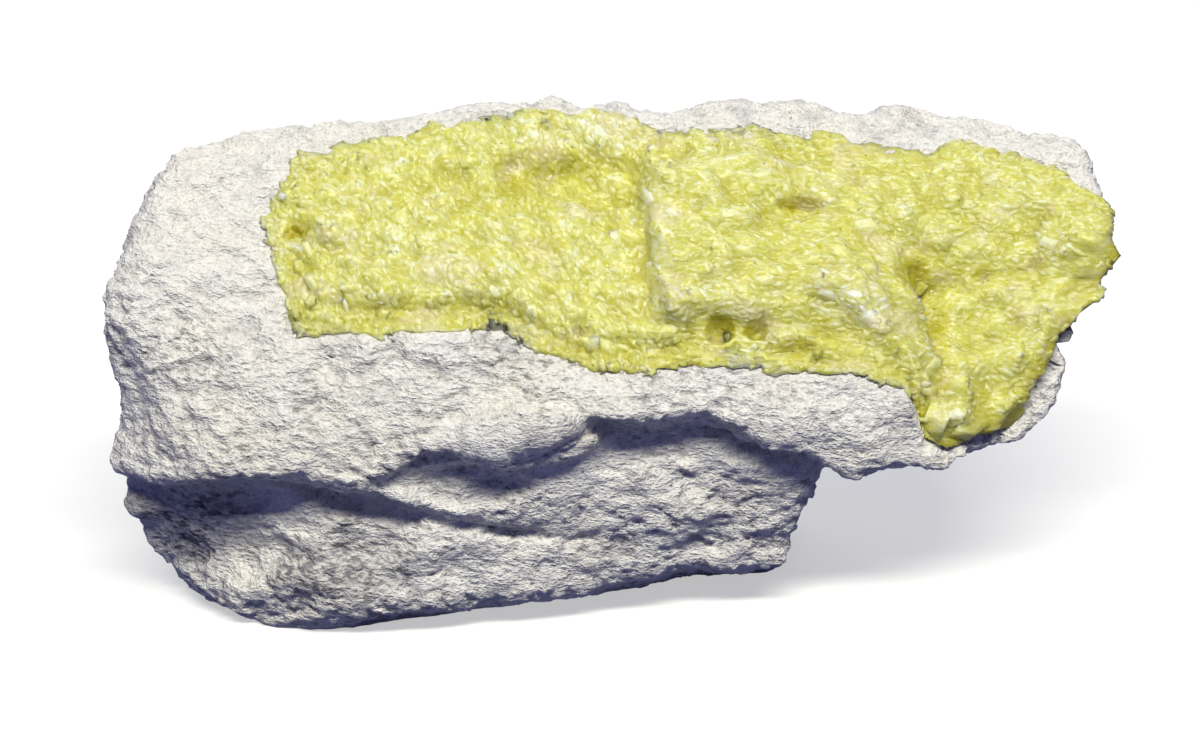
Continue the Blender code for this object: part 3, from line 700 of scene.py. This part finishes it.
# Crystals in one group stand this much of both their sizes apart.
GROUPS, GROUP_CELL, APART = 18, 4.7 * MM, 0.97
BED_FROST = 0.08
CRUST_FACES = 186000
float_attribute(crust.data, "frost", np.full(len(crust.data.polygons), BED_FROST), "FACE")
grown_meshes = [crystal_group(group) for group in sorted_apart(spots, GROUPS) if group]
for crystal_set in grown_meshes + [blade_group()]:
    crystals = bpy.data.objects.new("crystals", crystal_set)
    bpy.context.scene.collection.objects.link(crystals)
    grown = crust.modifiers.new("grown", "BOOLEAN")
    grown.operation, grown.solver, grown.object = "UNION", "MANIFOLD", crystals
    settle(crust)
    bpy.data.objects.remove(crystals)


def largest_part(obj):
    """Only the largest connected part of the object's mesh."""
    bm = bmesh.new()
    bm.from_mesh(obj.data)
    unseen, parts = set(bm.verts), []
    while unseen:
        part, front = [], [unseen.pop()]
        while front:
            vertex = front.pop()
            part.append(vertex)
            for edge in vertex.link_edges:
                other = edge.other_vert(vertex)
                if other in unseen:
                    unseen.remove(other)
                    front.append(other)
        parts.append(part)
    parts.sort(key=len)
    for part in parts[:-1]:
        bmesh.ops.delete(bm, geom=part, context="VERTS")
    bm.to_mesh(obj.data)
    bm.free()


largest_part(crust)
thinned(crust, CRUST_FACES)
crust.data.shade_smooth()

# The stone stays this far back from the crust's skin, but only where the skin also reaches as far
# around as this.
SET_BACK, WELL_COVERED = 0.35 * MM, 0.9
# Each look starts this far out of the stone, and goes this deep straight in and a little to the side.
LOOK_FROM, LOOK_DEPTH, LOOK_AROUND = 20.0, 24.0 * MM, 26.0 * MM
SIDEWAYS = (Vector((1.0, 0.0, 0.0)), Vector((-1.0, 0.0, 0.0)), FACE_RISE, -FACE_RISE)


def set_back(obj, skin):
    """The stone under the crust set back where it would stand through it."""
    points, normals = mesh_points(obj.data), mesh_normals(obj.data)
    for k in np.nonzero(normals @ np.array(OUTWARD) > 0.0)[0]:
        start = Vector(points[k]) + OUTWARD * LOOK_FROM * MM
        spot = skin.ray_cast(start, -OUTWARD, LOOK_DEPTH)[0]
        if spot is None:
            continue
        around = (
            skin.ray_cast(start + step * WELL_COVERED * MM, -OUTWARD, LOOK_AROUND)[0] for step in SIDEWAYS
        )
        beyond = (Vector(points[k]) - spot).dot(OUTWARD) + SET_BACK
        if beyond > 0.0 and all(other is not None for other in around):
            points[k] -= np.array(OUTWARD) * beyond
    set_points(obj.data, points)


# The stone's open face was left whole for the crust to grow on, so it is thinned last.
thinned(block, STONE_FACES)
set_back(block, ray_tree(crust))


def sunken(points, cell, reach):
    """How far each point lies below the face around it, in metres."""
    across = points[:, 0]
    down = points @ np.array(BED_DOWN)
    height = points @ np.array(BED_NORMAL)
    i = ((across - across.min()) / cell).astype(int)
    j = ((down - down.min()) / cell).astype(int)
    shape = (i.max() + 1, j.max() + 1)
    top = np.full(shape, -1.0)
    np.maximum.at(top, (i, j), height)
    weight = (top > -1.0).astype(float)
    level = np.where(weight > 0, top, 0.0)
    for _ in range(3):
        for axis in (0, 1):
            width = int(reach / cell)
            kernel = np.ones(2 * width + 1) / (2 * width + 1)
            level = np.apply_along_axis(np.convolve, axis, level, kernel, mode="same")
            weight = np.apply_along_axis(np.convolve, axis, weight, kernel, mode="same")
    around = level / np.maximum(weight, 1e-6)
    return around[i, j] - height


# What the colours go by: how sunken, which sets painted shade in the hollows and a slight painted highlight
# on the crests; how pale, which also carries painted shade and light; and how steep the crystals run at each
# point.
depth = sunken(mesh_points(crust.data), 0.35 * MM, 1.4 * MM)
float_attribute(crust.data, "sunken", np.clip(0.5 + depth / (2.0 * MM), 0.0, 1.0))
points = mesh_points(crust.data)
pale = 0.25 * grain(points, 3.0 * MM, 3, offset=21.0)
pale = pale + 0.25 * grain(points, 5.5 * MM, 2, (1.3, 1.0, 1.0), 13.0)
# Painted shade and light: the listed tints darken the shaded hollows and pits and lighten the ridge's shaded
# flank, on top of the paler frosted places.
for place in TINTS_AND_SHADE:
    pale += place[4] * smoothstep(1.6 * bell(points, place))
float_attribute(crust.data, "pale", np.clip(0.5 + 0.5 * pale, 0.0, 1.0))
float_attribute(crust.data, "trend", smoothstep((points[:, 0] / MM + 1.0) / 8.0))

sulfur, tree, surface = new_material("native sulfur")
frost = attribute(tree, "frost")
sunken_by = attribute(tree, "sunken")
steep = noise_texture(tree, stretched_place(tree, (1.1, 0.6, 0.42), 55), 1.0, 3.0, 0.6)
level = noise_texture(tree, stretched_place(tree, (1.1, 0.6, 0.36), 8), 1.0, 3.0, 0.6)
mottle = noise_texture(tree, stretched_place(tree, (0.42, 0.42, 0.36)), 1.0, 3.0, 0.6)
drift = noise_texture(tree, stretched_place(tree, (4.6, 4.2, 3.0), 15), 1.0, 4.0, 0.6)
streaks = mixed(tree, attribute(tree, "trend"), steep, level)
yellow = ramp(tree, frost, (
    (0.0, (0.53, 0.505, 0.04)), (0.25, (0.61, 0.605, 0.125)),
    (0.6, (0.69, 0.71, 0.28)), (1.0, (0.83, 0.87, 0.60)),
))
streaked = mixed(tree, 0.45, yellow, ramp(tree, streaks, (
    (0.40, (0.53, 0.515, 0.05)), (0.52, (0.64, 0.645, 0.21)), (0.66, (0.79, 0.82, 0.56)),
)))
speckled = mixed(tree, 0.3, streaked, ramp(tree, mottle, (
    (0.35, (0.53, 0.51, 0.06)), (0.65, (0.74, 0.76, 0.41)),
)))
# This measure carries painted shade and light along with the frosting: darker in shaded hollows and pits,
# paler on the ridge's shaded flank.
tinted_and_shaded = mixed(tree, 1.0, speckled, ramp(tree, attribute(tree, "pale"), (
    (0.0, (0.80, 0.73, 0.30)), (0.3, (0.92, 0.91, 0.70)), (0.5, (1.0, 1.0, 1.0)), (0.85, (1.04, 1.06, 1.6)),
)), "MULTIPLY")
# Painted shade: points below the face around them are coloured darker and deeper yellow; points above it are
# slightly paler and cooler, a painted highlight.
deep = mixed(tree, 1.0, tinted_and_shaded, ramp(tree, sunken_by, (
    (0.35, (1.0, 1.0, 1.15)), (0.5, (1.0, 1.0, 1.0)), (0.75, (0.94, 0.91, 0.65)), (1.0, (0.86, 0.80, 0.35)),
)), "MULTIPLY")
dust = ramp(tree, drift, ((0.54, (0.0, 0.0, 0.0)), (0.64, (1.0, 1.0, 1.0))))
dusting = math_node(tree, "MULTIPLY", math_node(tree, "MULTIPLY", dust, mottle), 0.7)
dusted = mixed(tree, dusting, deep, (0.66, 0.58, 0.38))
dots = math_node(tree, "MULTIPLY", specks(tree, 1.3, 0.10, 0.35), 0.7)
dotted = mixed(tree, dots, dusted, (0.16, 0.12, 0.05))
tree.links.new(dotted, surface.inputs["Base Color"])
gloss = ramp(tree, frost, ((0.0, (0.05, 0.05, 0.05)), (0.05, (0.18, 0.18, 0.18)), (0.8, (0.38, 0.38, 0.38))))
tree.links.new(gloss, surface.inputs["Roughness"])
surface.inputs["IOR"].default_value = 1.55
surface.inputs["Specular IOR Level"].default_value = 0.32
surface.inputs["Subsurface Weight"].default_value = 1.0
surface.inputs["Subsurface Radius"].default_value = (1.0, 0.95, 0.35)
surface.inputs["Subsurface Scale"].default_value = 0.0025
bump = add_node(tree, "ShaderNodeBump", Strength=0.6, Distance=0.0003)
tree.links.new(streaks, bump.inputs["Height"])
tree.links.new(bump.outputs["Normal"], surface.inputs["Normal"])
crust.data.materials.clear()
crust.data.materials.append(sulfur)
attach(crust, "root")
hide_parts("sulfur_crust")


# ---- The floor, the light and the camera ----------------------------------------------------------
# A plain pale floor under soft studio light. The key stands high in front and a little to the right,
# a dim fill stands low behind, and a dim, cool sky fills the shadows.

floor_mesh = bpy.data.meshes.new("floor")
floor_mesh.from_pydata([(-3, -3, 0), (3, -3, 0), (3, 3, 0), (-3, 3, 0)], [], [(0, 1, 2, 3)])
floor = bpy.data.objects.new("floor", floor_mesh)
bpy.context.scene.collection.objects.link(floor)
paper, tree, surface = new_material("pale paper")
path = tree.nodes.new("ShaderNodeLightPath")
seen = path.outputs["Is Camera Ray"]
tree.links.new(mixed(tree, seen, (0.08, 0.088, 0.20), (0.50, 0.50, 0.44)), surface.inputs["Base Color"])
surface.inputs["Roughness"].default_value = 0.9
surface.inputs["Emission Color"].default_value = (1.0, 1.0, 1.0, 1.0)
tree.links.new(math_node(tree, "MULTIPLY", seen, 0.50), surface.inputs["Emission Strength"])
floor_mesh.materials.append(paper)


def softbox(name, place, aim, width, height, power, colour):
    """A rectangular lamp standing at a place and turned to shine at its aim."""
    lamp = bpy.data.lights.new(name, "AREA")
    lamp.shape, lamp.size, lamp.size_y, lamp.energy, lamp.color = "RECTANGLE", width, height, power, colour
    obj = bpy.data.objects.new(name, lamp)
    obj.location = place
    obj.rotation_euler = (Vector(place) - Vector(aim)).to_track_quat("Z", "Y").to_euler()
    bpy.context.scene.collection.objects.link(obj)


AIM = (0.0, 0.0, 0.022)
softbox("key", (0.05, -0.56, 0.94), AIM, 0.95, 0.18, 17.6, (1.0, 0.985, 0.955))
softbox("back fill", (-0.3, 0.9, 0.35), AIM, 1.0, 0.6, 6.0, (0.95, 0.97, 1.0))

world = bpy.data.worlds.new("studio")
bpy.context.scene.world = world
world.use_nodes = True
sky = world.node_tree.nodes["Background"]
sky.inputs["Color"].default_value = (0.10, 0.12, 1.0, 1.0)
sky.inputs["Strength"].default_value = 0.17

CAMERA_RISE = math.radians(25)
CAMERA_AIM = Vector((-0.0016, 0.0, 0.0205))
camera = bpy.data.objects.new("camera", bpy.data.cameras.new("camera"))
camera.data.lens, camera.data.sensor_width, camera.data.clip_start = 180.0, 36.0, 0.01
toward = Vector((0.0, -math.cos(CAMERA_RISE), math.sin(CAMERA_RISE)))
camera.location = CAMERA_AIM + toward * 0.6
camera.rotation_euler = toward.to_track_quat("Z", "Y").to_euler()
bpy.context.scene.collection.objects.link(camera)
bpy.context.scene.camera = camera
bpy.context.scene.view_settings.view_transform = "Standard"
